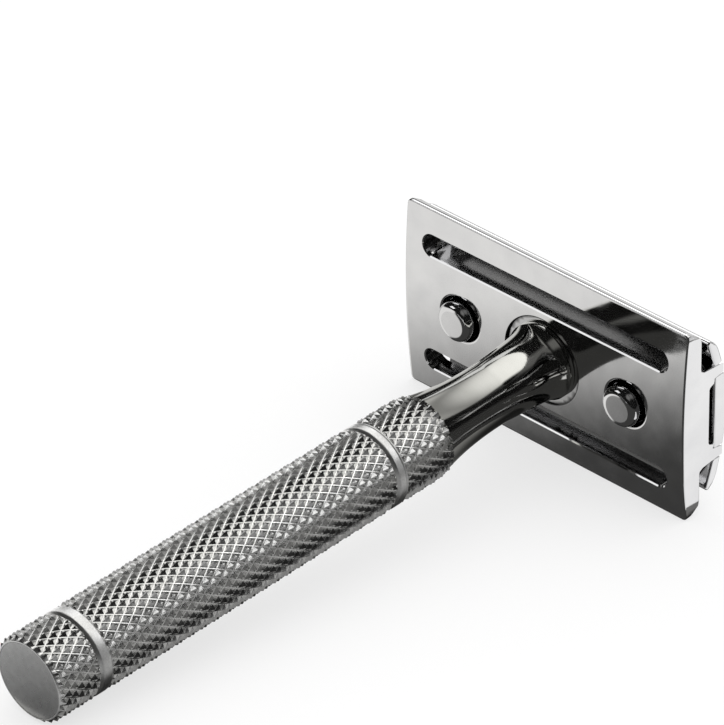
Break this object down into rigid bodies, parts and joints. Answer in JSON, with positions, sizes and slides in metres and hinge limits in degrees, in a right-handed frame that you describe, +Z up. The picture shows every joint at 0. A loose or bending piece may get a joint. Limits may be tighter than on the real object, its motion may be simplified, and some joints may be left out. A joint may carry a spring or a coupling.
{
  "type": "safety razor",
  "caption": "Three-piece safety razor for double-edge blades: crowned cap, slotted guard plate, polished flared neck and a knurled screw-on handle.",
  "frame": {"origin": "middle of the bounding box's footprint, on the surface that the razor lies on", "axes": "+Y from the handle's end disc towards the head, along the lying razor; +X along the blade; +Z up. The handle's own axis rises 5.3 degrees towards the head, because the lower safety bar and the handle's rim rest on the same surface"},
  "size_m": [0.0444, 0.0906, 0.026],
  "materials": {
    "polished_chrome": "mirror polished",
    "satin_steel": "satin knurled",
    "blade_steel": "ground",
    "core_steel": "turned",
    "thread_brass": "turned"
  },
  "bodies": {
    "guard": {"guard_plate": "polished_chrome"},
    "handle": {"neck": "polished_chrome", "thread_insert": "thread_brass", "grip_collar": "satin_steel", "grip_sleeve": "satin_steel", "tie_rod": "core_steel", "end_cap": "satin_steel", "end_disc": "satin_steel"},
    "cap": {"cap_plate": "polished_chrome", "cap_stud": "polished_chrome", "locating_pin_left": "polished_chrome", "locating_pin_right": "polished_chrome"},
    "blade": {"blade": "blade_steel"}
  },
  "joints": [
    {"name": "handle_screw", "type": "hinge", "parent": "guard", "child": "handle", "pos_m": [0, 0.03765, 0.0129], "axis": [0, -0.9958, -0.0911], "range_deg": [0, 3600]},
    {"name": "cap_lift", "type": "slide", "parent": "guard", "child": "cap", "axis": [0, 0.9958, 0.0911], "range_m": [0, 0.008]},
    {"name": "blade_lift", "type": "slide", "parent": "guard", "child": "blade", "axis": [0, 0.9958, 0.0911], "range_m": [0, 0.004]}
  ],
  "couplings": [
    {"joint": "cap_lift", "follows": "handle_screw", "m_per_rad": 0.00012732},
    {"joint": "blade_lift", "follows": "handle_screw", "m_per_rad": 0.00006366}
  ]
}
